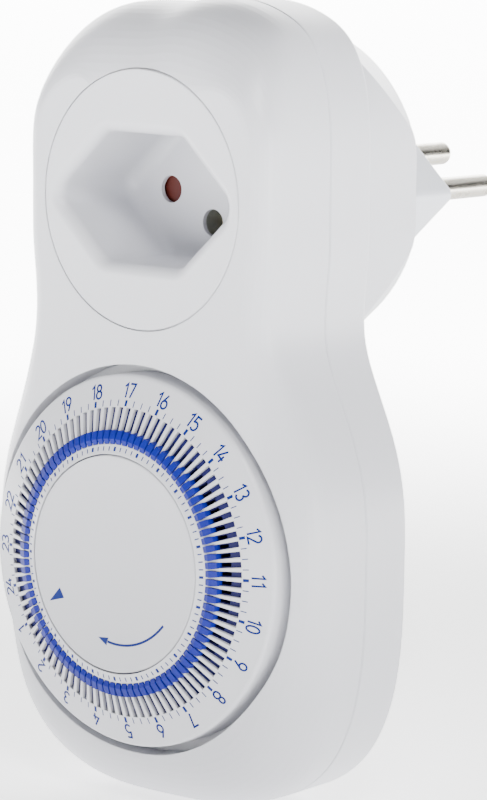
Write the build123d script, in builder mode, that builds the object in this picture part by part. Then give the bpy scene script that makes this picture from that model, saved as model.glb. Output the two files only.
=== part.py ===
"""Plug-in 24 hour timer with a socket above, a segment dial below and a plug on its back.

Millimetres. +Z is up, the front faces -Y and +X is to the right seen from the front.
The origin is the centre of the plug's flat end face, midway between the two live pins.
"""
import os
from math import atan2, cos, pi, radians, sin, sqrt, tan

from build123d import *

os.makedirs("parts", exist_ok=True)

# ---------------------------------------------------------------- overall places
socket_rise = 1.6        # socket axis above the plug pins
dial_drop = 60.3         # dial axis below the socket axis
front_y = -60.6          # flat front face of the case
parting_y = -43.45       # joint between front and rear shell
rear_y = -32.0           # flat rear face of the case
boss_y = -19.4           # end of the round boss behind the case
wall = 1.8               # side walls of both shells
front_wall = 2.0         # front wall of the front shell
rear_wall = 2.0          # rear wall of the rear shell

# ---------------------------------------------------------------- case outline
top_half_width = 26.6
top_rise = 32.5          # above the socket axis
top_roundness = 3.6      # superellipse exponent of the head
waist_half_width = 26.1
waist_drop = 22.0        # below the socket axis
base_half_width = 35.7
base_fall = 42.1         # below the dial axis
base_roundness = 3.0     # superellipse exponent of the foot
largest_rounding = 14.6  # soft edge over the crown of the head
rear_draft = 0.05        # how much the rear shell narrows per millimetre of depth
rear_round = 1.3
seam_chamfer = 0.3

# ---------------------------------------------------------------- plug and socket
pin_radius = 2.0
pin_reach = 19.0         # free length beyond the plug face
pin_half_pitch = 9.5     # live pins from the middle plane
earth_offset = 5.0       # earth from the line of the live pins
pin_tip_round = 1.2
hex_slope = 0.93         # rise over run of the slanted hexagon sides
plug_half_width = 17.9
plug_half_height = 10.2
hex_corner = 1.6         # rounded corners of the plug
pin_root_radius = 1.5    # pins are thinner inside the plug
pin_step_y = 0.3
recess_half_width = 20.0
recess_half_height = 10.85
recess_corner = 3.0
recess_lip = 1.9         # soft edge of the recess mouth
recess_floor_y = -42.5
recess_floor_round = 2.5
insert_radius = 21.65
insert_gap = 0.12
insert_edge_round = 0.25
insert_wall = 1.5
hole_radius = 2.3
floor_thickness = 0.9
shutter_gap = 0.5        # between the recess floor and the shutter

boss_rise = 0.6          # boss axis above the socket axis
boss_radius = 26.4
boss_flare = 0.425       # radius gained per millimetre towards the case
boss_round = 1.5
boss_step = 1.6          # boss stays this far inside the case outline

# ---------------------------------------------------------------- dial
dial_radius = 31.3
dial_slope = 0.37        # the dial face is a shallow cone
scale_radius = 26.5      # circle of the outer hour ticks
scale_y = -63.1          # where the cone stands at that circle
cap_radius = 18.2
cap_gap = 0.2
ring_thickness = 0.7
skirt_y = -56.2
skirt_wall = 1.3
rim_round = 0.8
well_radius = 32.8
well_wall = 1.4
well_back_y = -52.0
well_lip_radius = 30.4   # inward lip behind the dial's skirt
well_lip_y = -55.6
well_lip_thickness = 1.2
segment_count = 96
dial_rest_angle = -164.2  # where midnight stands on the dial at rest
slot_inner = 20.0
slot_outer = 25.95
slot_half_width = 0.48
tail_slot_half_width = 0.32
tail_half_width = 0.24
segment_length = 2.25
segment_gap = 0.06
segment_travel = 2.9
tab_height = 0.62
tab_toe = 0.12           # height of the tab at its inner end
tab_rise = 0.85          # length over which it rises to its full height
tab_flat = 1.25          # where the widest stretch ends
tab_half_width = 0.56
tab_end_half_width = 0.45
carrier_thickness = 1.2
carrier_gap = 0.05
web_depth = 1.55         # front of the web behind the dial's inner rim
moving_segments = range(0, segment_count, 12)

# ---------------------------------------------------------------- movement
module = 0.5
post_radius = 4.0
running_gap = 0.05
front_plate_y = -49.8
rear_plate_y = -41.9
plate_thickness = 1.2
front_plate_radius = 32.0
rear_plate_radius = 30.0
dial_teeth = 60
output_teeth = 12
clutch_teeth = 48
wheel_teeth = 50
pinion_teeth = 10
clutch_angle = 40.0      # direction from the dial axis to the clutch arbor
second_angle = 200.0     # from the clutch arbor to the second arbor
third_angle = 250.0      # from the second arbor to the third
rotor_angle = 200.0      # from the third arbor to the rotor
motor_radius = 12.5
motor_back_y = -34.6

screw_places = ((21.5, -23.6), (-21.5, -23.6), (25.0, -89.6), (-25.0, -89.6))
screw_places = tuple((x, z + socket_rise) for x, z in screw_places)

dial_z = socket_rise - dial_drop
boss_z = socket_rise + boss_rise


def facing(y):
    """Plane at depth y, drawn as x across and z up, with its normal to the front."""
    return Plane.XZ.offset(-y)


def rod(x, z, radius, y0, y1, mode=Mode.ADD):
    with Locations((x, (y0 + y1) / 2, z)):
        Cylinder(radius, y1 - y0, rotation=(90, 0, 0), mode=mode)


def block(x0, x1, y0, y1, z0, z1, mode=Mode.ADD):
    with Locations(((x0 + x1) / 2, (y0 + y1) / 2, (z0 + z1) / 2)):
        Box(x1 - x0, y1 - y0, z1 - z0, mode=mode)


def bar(points, size):
    """Square conductor along straight runs parallel to the axes."""
    half = size / 2
    for a, b in zip(points, points[1:]):
        low = [min(p, q) - (half if p == q else 0) for p, q in zip(a, b)]
        high = [max(p, q) + (half if p == q else 0) for p, q in zip(a, b)]
        block(low[0], high[0], low[1], high[1], low[2], high[2])
    for x, y, z in points[1:-1]:
        block(x - half, x + half, y - half, y + half, z - half, z + half)


def write(piece, name):
    piece.label = name
    export_step(piece, f"parts/{name}.step")


def polar(radius, angle):
    return radius * cos(radians(angle)), radius * sin(radians(angle))


# ================================================================ case outline
def superellipse(half_width, half_height, roundness, angle):
    c, s = cos(radians(angle)), sin(radians(angle))
    x = half_width * abs(c) ** (2 / roundness)
    z = half_height * abs(s) ** (2 / roundness)
    return x, z if s >= 0 else -z


def outline_points():
    """Closed figure-of-eight outline, clockwise from the top."""
    half = []
    for angle in (90, 68, 45, 22, 0):
        x, z = superellipse(top_half_width, top_rise, top_roundness, angle)
        half.append((x, z + socket_rise))
    waist_z = socket_rise - waist_drop
    half.append((waist_half_width + 0.5, waist_z + 12.0))
    half.append((waist_half_width, waist_z))
    half.append((waist_half_width * 0.55 + base_half_width * 0.45, waist_z - 11.5))
    half.append((base_half_width - 0.7, dial_z + 13.5))
    for angle in (0, -22, -45, -68, -90):
        x, z = superellipse(base_half_width, base_fall, base_roundness, angle)
        half.append((x, z + dial_z))
    return half + [(-x, z) for x, z in half[-2:0:-1]]


outline_edge = Edge.make_spline([Vector(x, z, 0) for x, z in outline_points()], periodic=True)


def front_rounding(z):
    """Radius of the soft front edge: small beside the socket, large at head and foot."""
    h = z - socket_rise
    stations = ((-104, 14.0), (-80, 12.0), (-60, 7.4), (-40, 8.6), (-20, 4.4), (10, 3.2), (34, largest_rounding))
    if h <= stations[0][0]:
        return stations[0][1]
    for (h0, r0), (h1, r1) in zip(stations, stations[1:]):
        if h <= h1:
            t = (h - h0) / (h1 - h0)
            t = t * t * (3 - 2 * t)
            return r0 + (r1 - r0) * t
    return stations[-1][1]


start = outline_edge.tangent_at(0)
inward = 1 if start.X < 0 else -1   # the outline's normal must point outwards


def inset_points(inset, count=48):
    """Outline moved inwards by inset(z), sampled evenly."""
    points = []
    for i in range(count):
        p = outline_edge.position_at(i / count)
        t = outline_edge.tangent_at(i / count)
        normal = Vector(t.Y, -t.X, 0)
        q = p - normal * (inset(p.Y) * inward)
        points.append((q.X, q.Y))
    return points


def case_section(y, inset):
    with BuildSketch(facing(y)) as section:
        with BuildLine():
            Spline(*inset_points(inset), periodic=True)
        make_face()
    return section


def front_inset(depth, extra=0.0):
    def inset(z):
        r = max(front_rounding(z) - extra, 0.8)
        if depth >= r:
            return extra
        return extra + r - sqrt(r * r - (r - depth) ** 2)
    return inset


def rear_inset(y, extra=0.0):
    base = extra + rear_draft * (y - parting_y)
    return lambda z: base


front_depths = [largest_rounding * (1 - cos(radians(angle))) for angle in range(0, 91, 6)]


def front_body(extra, y_front):
    """Head-on solid of the front shell, or of its hollow when extra is the wall."""
    sections = [case_section(y_front + d, front_inset(d, extra)) for d in front_depths]
    if extra == 0:
        sections.append(case_section(parting_y - seam_chamfer, lambda z: 0))
        sections.append(case_section(parting_y, lambda z: seam_chamfer))
    else:
        sections.append(case_section(parting_y, lambda z: extra))
    return loft(sections=[s.sketch for s in sections], ruled=True, mode=Mode.PRIVATE)


def rear_body():
    """Solid of the rear shell: a narrowing wall with a small round at the back."""
    sections = [case_section(parting_y, lambda z: seam_chamfer),
                case_section(parting_y + seam_chamfer, rear_inset(parting_y + seam_chamfer))]
    for angle in range(0, 91, 18):
        y = rear_y - rear_round * (1 - sin(radians(angle)))
        sections.append(case_section(y, rear_inset(y, rear_round * (1 - cos(radians(angle))))))
    return loft(sections=[s.sketch for s in sections], ruled=True, mode=Mode.PRIVATE)


def rear_hollow():
    y = rear_y - rear_wall
    sections = [case_section(parting_y, lambda z: wall), case_section(y, rear_inset(y, wall))]
    return loft(sections=[s.sketch for s in sections], ruled=True, mode=Mode.PRIVATE)


def hexagon_points(half_width, half_height):
    """Flat-topped hexagon with its tips to the left and right."""
    shoulder = half_width - half_height / hex_slope
    right = [(shoulder, half_height), (half_width, 0), (shoulder, -half_height)]
    return right + [(-x, z) for x, z in right[::-1]]


def hexagon(y0, y1, half_width, half_height, z, corner, mode=Mode.ADD):
    """Hexagonal prism with rounded edges between two depths, centred on height z."""
    with BuildSketch(facing(y1)) as profile:
        with BuildLine():
            Polyline(*[(x, h + z) for x, h in hexagon_points(half_width, half_height)], close=True)
        make_face()
        fillet(profile.vertices(), corner)
    add(extrude(profile.sketch, amount=y1 - y0, mode=Mode.PRIVATE), mode=mode)


def cone_y(radius_front, radius_back, y0, y1, x, z, mode=Mode.ADD):
    """Cone along the depth axis, with its front radius first."""
    with Locations((x, (y0 + y1) / 2, z)):
        Cone(radius_back, radius_front, y1 - y0, rotation=(90, 0, 0), mode=mode)


# ================================================================ front shell
screw_post_radius = 2.6
screw_radius = 1.3
screw_head_radius = 2.7
screw_head_height = 1.9
screw_length = 12.0
plate_screw_radius = 0.9
plate_screw_reach = 35.6
plate_post_radius = 2.4
plate_screw_angles = (45.0, 100.0, 270.0)
plate_screw_places = []
for angle in plate_screw_angles:
    x, z = polar(plate_screw_reach, angle)
    plate_screw_places.append((x, dial_z + z))

with BuildPart() as hollow:
    add(front_body(wall, front_y + front_wall))

with BuildPart() as front_shell:
    add(front_body(0.0, front_y))
    add(hollow.part, mode=Mode.SUBTRACT)
    with BuildPart(mode=Mode.PRIVATE) as inner_bosses:
        rod(0, dial_z, well_radius + well_wall, front_y, well_back_y)
        for x, z in screw_places:
            rod(x, z, screw_post_radius, front_y, parting_y)
        for x, z in plate_screw_places:
            rod(x, z, plate_post_radius, front_y, front_plate_y)
    with BuildPart(mode=Mode.PRIVATE) as kept_bosses:
        add(inner_bosses.part)
        add(front_body(0.5, front_y + 0.5), mode=Mode.INTERSECT)
    add(kept_bosses.part)
    rod(0, dial_z, well_radius, front_y - 1, parting_y, mode=Mode.SUBTRACT)
    with BuildPart(mode=Mode.PRIVATE) as well_lip:
        rod(0, dial_z, well_radius + 0.5, well_lip_y, well_lip_y + well_lip_thickness)
        rod(0, dial_z, well_lip_radius, front_y, parting_y, mode=Mode.SUBTRACT)
    add(well_lip.part)
    rod(0, socket_rise, insert_radius + insert_gap, front_y - 1, front_y + front_wall + 1, mode=Mode.SUBTRACT)
    for x, z in screw_places:
        rod(x, z, screw_radius, parting_y - screw_length, parting_y + 1, mode=Mode.SUBTRACT)
    for x, z in plate_screw_places:
        rod(x, z, plate_screw_radius, front_plate_y - 6, front_plate_y + 1, mode=Mode.SUBTRACT)
write(front_shell.part, "front_shell")

# ================================================================ rear shell
boss_base = boss_radius + boss_flare * (boss_y - rear_y)
plug_gap = 0.1
flange_y = -21.4         # back of the plug body's flange, inside the boss wall

with BuildPart() as boss:
    cone_y(boss_base + boss_flare * 2, boss_radius, rear_y - 2, boss_y, 0, boss_z)
    fillet(boss.faces().sort_by(Axis.Y)[-1].edges(), boss_round)
    with BuildPart(mode=Mode.PRIVATE) as boss_bound:
        edge = case_section(rear_y - 2, lambda z: boss_step)
        add(extrude(edge.sketch, amount=-(boss_y - rear_y + 3), mode=Mode.PRIVATE))
    add(boss_bound.part, mode=Mode.INTERSECT)

with BuildPart() as rear_shell:
    add(rear_body())
    add(rear_hollow(), mode=Mode.SUBTRACT)
    add(boss.part)
    with BuildPart(mode=Mode.PRIVATE) as boss_hollow:
        cone_y(boss_base - rear_wall, boss_radius - rear_wall, rear_y - 2.5, flange_y, 0, boss_z)
        edge = case_section(rear_y - 3, lambda z: boss_step + wall)
        add(extrude(edge.sketch, amount=-(boss_y - rear_y + 5), mode=Mode.PRIVATE), mode=Mode.INTERSECT)
    add(boss_hollow.part, mode=Mode.SUBTRACT)
    with BuildPart(mode=Mode.PRIVATE) as posts:
        for x, z in screw_places:
            rod(x, z, screw_head_radius + 1.1, parting_y, rear_y - 0.5)
        with BuildPart(mode=Mode.PRIVATE) as bound:
            edge = case_section(rear_y - 0.5, rear_inset(rear_y, 0.5))
            add(extrude(edge.sketch, amount=14, mode=Mode.PRIVATE))
        add(bound.part, mode=Mode.INTERSECT)
    add(posts.part)
    for x, z in screw_places:
        rod(x, z, screw_radius + 0.25, parting_y - 1, rear_y + 1, mode=Mode.SUBTRACT)
        rod(x, z, screw_head_radius + 0.3, rear_y - 5, rear_y + 14, mode=Mode.SUBTRACT)
    hexagon(flange_y - 1, boss_y + 1, plug_half_width + plug_gap, plug_half_height + plug_gap, 0,
            hex_corner + plug_gap, mode=Mode.SUBTRACT)
write(rear_shell.part, "rear_shell")

with BuildPart() as housing_screws:
    head_y = rear_y - 5
    for x, z in screw_places:
        rod(x, z, screw_radius, head_y - 14, head_y)
        rod(x, z, screw_head_radius, head_y, head_y + screw_head_height)
        block(x - 1.9, x + 1.9, head_y + 1.1, head_y + 3, z - 0.35, z + 0.35, mode=Mode.SUBTRACT)
        block(x - 0.35, x + 0.35, head_y + 1.1, head_y + 3, z - 1.9, z + 1.9, mode=Mode.SUBTRACT)
write(housing_screws.part, "housing_screws")

# ================================================================ plug
pin_root_y = -24.2
pin_fit = 0.02
flange_thickness = 1.5
pin_places = {
    "line_pin": (-pin_half_pitch, 0),
    "neutral_pin": (pin_half_pitch, 0),
    "earth_pin": (0, earth_offset),
}

with BuildPart() as plug_body:
    hexagon(flange_y, 0, plug_half_width, plug_half_height, 0, hex_corner)
    fillet(plug_body.faces().sort_by(Axis.Y)[-1].edges(), 0.4)
    hexagon(flange_y - flange_thickness, flange_y, plug_half_width + 1.8, plug_half_height + 2.2, 0, 3.0)
    for x, z in pin_places.values():
        rod(x, z, pin_root_radius + pin_fit, flange_y - 3, 1, mode=Mode.SUBTRACT)
write(plug_body.part, "plug_body")

for name, (x, z) in pin_places.items():
    with BuildPart() as pin:
        rod(x, z, pin_root_radius, pin_root_y, pin_step_y)
        rod(x, z, pin_radius, pin_step_y, pin_reach)
        fillet(pin.edges().filter_by(GeomType.CIRCLE).sort_by(Axis.Y)[-1], pin_tip_round)
    write(pin.part, name)

# ================================================================ socket insert
cup_back_y = recess_floor_y + floor_thickness
socket_holes = ((-pin_half_pitch, socket_rise), (pin_half_pitch, socket_rise), (0, socket_rise - earth_offset))

with BuildPart() as socket_insert:
    rod(0, socket_rise, insert_radius, front_y, front_y + front_wall + 1.4)
    fillet(socket_insert.edges().filter_by(GeomType.CIRCLE).sort_by(Axis.Y)[0], insert_edge_round)
    flange_front = front_y + front_wall + 1.7
    rod(0, socket_rise, insert_radius - 0.6, front_y, flange_front + 1.2)
    hexagon(front_y + 0.5, cup_back_y, recess_half_width + insert_wall, recess_half_height + insert_wall,
            socket_rise, recess_corner + insert_wall)
    with BuildPart(mode=Mode.PRIVATE) as recess:
        hexagon(front_y - 1, recess_floor_y, recess_half_width, recess_half_height, socket_rise, recess_corner)
        fillet(recess.faces().sort_by(Axis.Y)[-1].edges(), recess_floor_round)
    add(recess.part, mode=Mode.SUBTRACT)
    mouth = socket_insert.faces().filter_by(Axis.Y).sort_by(Axis.Y)[0].inner_wires()[0]
    fillet(mouth.edges(), recess_lip)
    for x, z in socket_holes:
        rod(x, z, hole_radius, recess_floor_y - 1, cup_back_y + 1, mode=Mode.SUBTRACT)
write(socket_insert.part, "socket_insert")

# ================================================================ contacts
shutter_y = cup_back_y + shutter_gap
shutter_thickness = 1.6
shutter_half_width = 12.6
shutter_travel = 5.2
carrier_front_y = -37.0
carrier_back_y = -29.0
sleeve_outer = 2.9
sleeve_inner = 2.15
sleeve_gap = 0.05
collar_inner = 2.8       # tube round the earth pin's way, wider than the hole before it
collar_outer = 3.4
line_sleeve_back = -29.0
sleeve_back = -26.2
line_x = -pin_half_pitch
bar_width = 1.6

sleeves = {
    "line_receptacle": (socket_holes[0], line_sleeve_back),
    "neutral_receptacle": (socket_holes[1], sleeve_back),
    "earth_receptacle": (socket_holes[2], sleeve_back),
}
with BuildPart() as contact_carrier:
    block(-14.4, 14.4, carrier_front_y, carrier_back_y - 1.0, socket_rise - 9.2, socket_rise + 6.2)
    rail_z0, rail_z1 = socket_rise - 9.2, socket_rise + 12.4
    for side in (-1, 1):
        x0, x1 = sorted((side * (shutter_half_width + 0.1), side * 14.4))
        block(x0, x1, cup_back_y, carrier_front_y, rail_z0, rail_z1)
    block(-14.4, 14.4, cup_back_y, carrier_front_y, socket_rise + 11.2, rail_z1)
    for (x, z), back in sleeves.values():
        rod(x, z, sleeve_outer + sleeve_gap, carrier_front_y - 1, carrier_back_y + 1, mode=Mode.SUBTRACT)
    x, z = socket_holes[2]
    rod(x, z, collar_outer, cup_back_y, carrier_front_y)
    rod(x, z, collar_inner, cup_back_y - 1, carrier_front_y, mode=Mode.SUBTRACT)
write(contact_carrier.part, "contact_carrier")

for name, ((x, z), back) in sleeves.items():
    with BuildPart() as sleeve:
        rod(x, z, sleeve_outer, carrier_front_y, back)
        rod(x, z, sleeve_inner, carrier_front_y - 1, back - 1.0, mode=Mode.SUBTRACT)
        slit = (x - 0.25, x + 0.25, carrier_front_y - 1, back - 2.5, z, z + 5)
        block(*slit, mode=Mode.SUBTRACT)
    write(sleeve.part, name)

with BuildPart() as shutter:
    block(-shutter_half_width, shutter_half_width, shutter_y, shutter_y + shutter_thickness,
          socket_rise - 2.5, socket_rise + 3.2)
    block(-3.9, 3.9, shutter_y - 1, shutter_y + shutter_thickness + 1, socket_rise - 3, socket_rise - 1.1,
          mode=Mode.SUBTRACT)
    block(-1.2, 1.2, shutter_y, shutter_y + shutter_thickness, socket_rise + 3.2, socket_rise + 3.9)
write(shutter.part, "shutter")

with BuildPart() as shutter_spring:
    spring_y = shutter_y + shutter_thickness / 2
    low, high = socket_rise + 4.0, socket_rise + 11.15
    coils, wire, coil_radius = 7, 0.14, 0.62
    with BuildLine() as coil:
        Helix((high - low - 2 * wire) / coils, high - low - 2 * wire, coil_radius,
              center=(0, spring_y, low + wire), direction=(0, 0, 1))
    with BuildSketch(Plane(origin=coil.line @ 0, z_dir=coil.line % 0)):
        Circle(wire)
    sweep(path=coil.line)
write(shutter_spring.part, "shutter_spring")

with BuildPart() as neutral_bar:
    block(pin_half_pitch - 2, pin_half_pitch + 2, sleeve_back, pin_root_y, -2.6, socket_rise + 2.6)
write(neutral_bar.part, "neutral_bar")

with BuildPart() as earth_bar:
    block(-2, 2, sleeve_back, pin_root_y, socket_rise - earth_offset - 2.2, earth_offset + 2.2)
write(earth_bar.part, "earth_bar")

# ================================================================ dial
def face_y(radius):
    """Depth of the conical dial face at a radius."""
    return scale_y + dial_slope * (radius - scale_radius)


def dial_angle(index):
    """Direction of segment number index, the first one just after midnight."""
    return dial_rest_angle + (index + 0.5) * 360 / segment_count


def revolved(points):
    """Solid of revolution about the dial axis from (radius, depth) points."""
    with BuildSketch(Plane(origin=(0, 0, dial_z), x_dir=(1, 0, 0), z_dir=(0, 0, 1))) as profile:
        with BuildLine():
            Polyline(*points, close=True)
        make_face()
    return revolve(profile.sketch, axis=Axis((0, 0, dial_z), (0, 1, 0)), mode=Mode.PRIVATE)


def turned(shape, angle):
    """Copy turned about the dial axis, counter-clockwise seen from the front."""
    return shape.rotate(Axis((0, 0, dial_z), (0, -1, 0)), angle)


def slots(half_width, inner, outer, y0, y1):
    """One radial cutter for every segment."""
    with BuildPart() as cutter:
        block(inner, outer, y0, y1, dial_z - half_width, dial_z + half_width)
    return [turned(cutter.part, dial_angle(i)) for i in range(segment_count)]


ring_inner = cap_radius + cap_gap
skirt_inner = dial_radius - skirt_wall
with BuildPart() as dial_ring:
    add(revolved([
        (ring_inner, face_y(ring_inner)),
        (dial_radius, face_y(dial_radius)),
        (dial_radius, skirt_y),
        (skirt_inner, skirt_y),
        (skirt_inner, face_y(skirt_inner) + ring_thickness),
        (ring_inner, face_y(ring_inner) + ring_thickness),
    ]))
    fillet(dial_ring.edges().filter_by(GeomType.CIRCLE).sort_by(lambda e: abs(e.radius - dial_radius)
           + abs(e.center().Y - face_y(dial_radius)))[0], rim_round)
    add(slots(slot_half_width, slot_inner, slot_outer, face_y(ring_inner) - 1, face_y(skirt_inner) + 2),
        mode=Mode.SUBTRACT)
write(dial_ring.part, "dial_ring")

web_front = face_y(ring_inner) + web_depth
carrier_outer = skirt_inner - 0.1
hub_radius = 6.5
gear_front_y = -53.2
gear_back_y = -50.7
clip_y = -63.3
clip_thickness = 0.5
clip_radius = 5.2
clip_groove = 3.5
tail_inner = 20.2
tail_outer = 20.8
tail_depth = 8.0
tail_clearance = 0.1


def carrier_y(radius):
    return face_y(radius) + ring_thickness + carrier_gap


def gear_points(teeth, phase):
    """Closed outline of a spur gear with straight-sided involute teeth and backlash."""
    pitch_radius = module * teeth / 2
    base_radius = pitch_radius * cos(radians(20))
    root_radius = pitch_radius - 1.15 * module
    tip_radius = pitch_radius + 0.75 * module
    half_angle = pi / (2 * teeth) - 0.09 / pitch_radius
    turn = tan(radians(20)) - radians(20)
    points = []
    for tooth in range(teeth):
        middle = radians(phase) + 2 * pi * tooth / teeth
        flank = []
        for step in range(5):
            radius = root_radius + (tip_radius - root_radius) * step / 4
            roll = sqrt(max(radius ** 2 / base_radius ** 2 - 1, 0))
            flank.append((radius, half_angle + turn - (roll - atan2(roll, 1))))
        for radius, angle in flank:
            points.append((radius * cos(middle - angle), radius * sin(middle - angle)))
        for radius, angle in flank[::-1]:
            points.append((radius * cos(middle + angle), radius * sin(middle + angle)))
    return points


def gear(x, z, teeth, phase, y0, y1):
    with BuildSketch(facing(y1)) as profile:
        with BuildLine():
            Polyline(*[(x + a, z + b) for a, b in gear_points(teeth, phase)], close=True)
        make_face()
    add(extrude(profile.sketch, amount=y1 - y0, mode=Mode.PRIVATE))


with BuildPart() as dial_gear:
    add(revolved([
        (hub_radius, web_front),
        (ring_inner, web_front),
        (ring_inner, carrier_y(ring_inner)),
        (carrier_outer, carrier_y(carrier_outer)),
        (carrier_outer, carrier_y(carrier_outer) + carrier_thickness),
        (ring_inner, web_front + carrier_thickness),
        (hub_radius, web_front + carrier_thickness),
    ]))
    rod(0, dial_z, hub_radius + 0.2, web_front, gear_back_y)
    gear(0, dial_z, dial_teeth, clutch_angle, gear_front_y, gear_back_y)
    rod(0, dial_z, post_radius + running_gap, web_front - 1, gear_back_y + 1, mode=Mode.SUBTRACT)
    rod(0, dial_z, clip_radius + 0.3, web_front - 1, clip_y + clip_thickness + 0.1, mode=Mode.SUBTRACT)
    add(slots(tail_slot_half_width, tail_inner - tail_clearance, tail_outer + segment_travel + tail_clearance,
              carrier_y(ring_inner) - 1, carrier_y(carrier_outer) + 2), mode=Mode.SUBTRACT)
write(dial_gear.part, "dial_gear")


def along_cone(points, half_width):
    """Bar across a radius of the dial from (radius, height above the dial face) points."""
    with BuildSketch(Plane.XY.offset(dial_z - half_width)) as profile:
        with BuildLine():
            Polyline(*[(radius, face_y(radius) - height) for radius, height in points], close=True)
        make_face()
    return extrude(profile.sketch, amount=2 * half_width, mode=Mode.PRIVATE)


body_inner = slot_inner + segment_gap
body_outer = body_inner + segment_length
stem_half_width = slot_half_width - segment_gap
stem_toe = (tab_toe + segment_gap) / 2
with BuildPart() as segment:
    with BuildSketch(facing(0)) as tab_plan:
        with BuildLine():
            right = [(body_inner, slot_half_width), (body_inner + tab_rise, tab_half_width),
                     (body_inner + tab_flat, tab_half_width), (body_outer, tab_end_half_width)]
            Polyline(*[(x, z + dial_z) for x, z in right],
                     *[(x, dial_z - z) for x, z in right[::-1]], close=True)
        make_face()
    add(extrude(tab_plan.sketch, amount=90, mode=Mode.PRIVATE))
    add(along_cone([(body_inner, tab_toe), (body_inner + tab_rise, tab_height), (body_outer, tab_height),
                    (body_outer, segment_gap), (body_inner, segment_gap)], 2), mode=Mode.INTERSECT)
    add(along_cone([(body_inner, stem_toe), (body_inner + tab_rise, tab_height / 2), (body_outer, tab_height / 2),
                    (body_outer, -ring_thickness), (body_inner, -ring_thickness)], stem_half_width))
    add(along_cone([(tail_inner, 0), (tail_outer, 0), (tail_outer, -tail_depth), (tail_inner, -tail_depth)],
                   tail_half_width))

segments = []
for i in range(segment_count):
    if i not in moving_segments:
        segments.append(turned(segment.part, dial_angle(i)).solid())
write(Compound(children=segments), "segments")

for number, i in enumerate(moving_segments, start=1):
    write(turned(segment.part, dial_angle(i)), f"moving_segment_{number}")

cap_y = face_y(ring_inner) + 0.05
post_tip_y = clip_y - 0.9
post_bore = 2.9
with BuildPart() as hub_cap:
    rod(0, dial_z, cap_radius, cap_y, cap_y + 1.2)
    fillet(hub_cap.edges().sort_by(Axis.Y)[0], 0.25)
    rod(0, dial_z, post_bore - 0.05, cap_y, cap_y + 6)
write(hub_cap.part, "hub_cap")

# ================================================================ movement plates
clutch_x, clutch_z = polar(module * (dial_teeth + output_teeth) / 2, clutch_angle)
clutch_z += dial_z
dx, dz = polar(module * (clutch_teeth + pinion_teeth) / 2, second_angle)
second_x, second_z = clutch_x + dx, clutch_z + dz
dx, dz = polar(module * (wheel_teeth + pinion_teeth) / 2, third_angle)
third_x, third_z = second_x + dx, second_z + dz
dx, dz = polar(module * (wheel_teeth + pinion_teeth) / 2, rotor_angle)
rotor_x, rotor_z = third_x + dx, third_z + dz

arbor_radius = 0.75
output_shaft_radius = 1.2
output_end_radius = 0.8
rotor_shaft_radius = 0.8
pillar_radius = 2.0
pillar_screw_radius = 0.9
pillar_places = [polar(27.0, angle) for angle in (0, 110, 250)]
pillar_places = [(x, z + dial_z) for x, z in pillar_places]
lever_pivot = (-29.05, dial_z + 5.1)
lever_pin_radius = 1.5
lever_front_y = -51.6
lever_back_y = -50.2
tongue = (-15.2, -5.5, -46.0, -12.2)   # left, right, bottom and top of the switch tongue
front_plate_back = front_plate_y + plate_thickness
rear_plate_back = rear_plate_y + plate_thickness
bar_in_z = -16.5
moving_blade_x = -13.4
fixed_blade_x = line_x - 0.15
blade_thickness = 0.3
blade_front_y = -53.6
blade_back_y = -50.0
base_bottom = -15.2
base_left = -15.4
base_top = -11.9

with BuildPart() as front_plate:
    rod(0, dial_z, front_plate_radius, front_plate_y, front_plate_back)
    block(tongue[0], tongue[1], front_plate_y, front_plate_back, tongue[2], tongue[3])
    for x, z in plate_screw_places:
        rod(x, z, plate_post_radius, front_plate_y, front_plate_back)
    x, z = plate_screw_places[0]
    rod(x * 0.92, dial_z + (z - dial_z) * 0.92, 3, front_plate_y, front_plate_back)
    x, z = plate_screw_places[2]
    rod(x, z + 3, 3, front_plate_y, front_plate_back)
    for x, z in plate_screw_places:
        rod(x, z, plate_screw_radius + 0.15, front_plate_y - 1, front_plate_back + 1, mode=Mode.SUBTRACT)
    rod(clutch_x, clutch_z, output_shaft_radius + running_gap, front_plate_y - 1, front_plate_back + 1,
        mode=Mode.SUBTRACT)
    rod(rotor_x, rotor_z, rotor_shaft_radius + running_gap, front_plate_y - 1, front_plate_back + 1,
        mode=Mode.SUBTRACT)
    for x, z in ((second_x, second_z), (third_x, third_z)):
        rod(x, z, arbor_radius + pin_fit, front_plate_y - 1, front_plate_back + 1, mode=Mode.SUBTRACT)
    rod(*lever_pivot, lever_pin_radius, front_plate_y - 1, front_plate_back + 1, mode=Mode.SUBTRACT)
    block(line_x - 1.3, line_x + 1.3, front_plate_y - 1, front_plate_back + 1, bar_in_z - 1.3, bar_in_z + 1.3,
          mode=Mode.SUBTRACT)
write(front_plate.part, "front_plate")

with BuildPart() as dial_post:
    rod(0, dial_z, post_radius, post_tip_y, front_plate_y)
    rod(0, dial_z, post_radius + 1, clip_y, clip_y + clip_thickness, mode=Mode.SUBTRACT)
    rod(0, dial_z, clip_groove, clip_y, clip_y + clip_thickness)
    rod(0, dial_z, post_bore, post_tip_y - 1, cap_y + 6.5, mode=Mode.SUBTRACT)
write(dial_post.part, "dial_post")

with BuildPart() as dial_clip:
    rod(0, dial_z, clip_radius, clip_y, clip_y + clip_thickness)
    rod(0, dial_z, clip_groove, clip_y - 1, clip_y + 1, mode=Mode.SUBTRACT)
    block(-2.0, 2.0, clip_y - 1, clip_y + 1, dial_z - 6, dial_z, mode=Mode.SUBTRACT)
write(dial_clip.part, "dial_clip")

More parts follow.
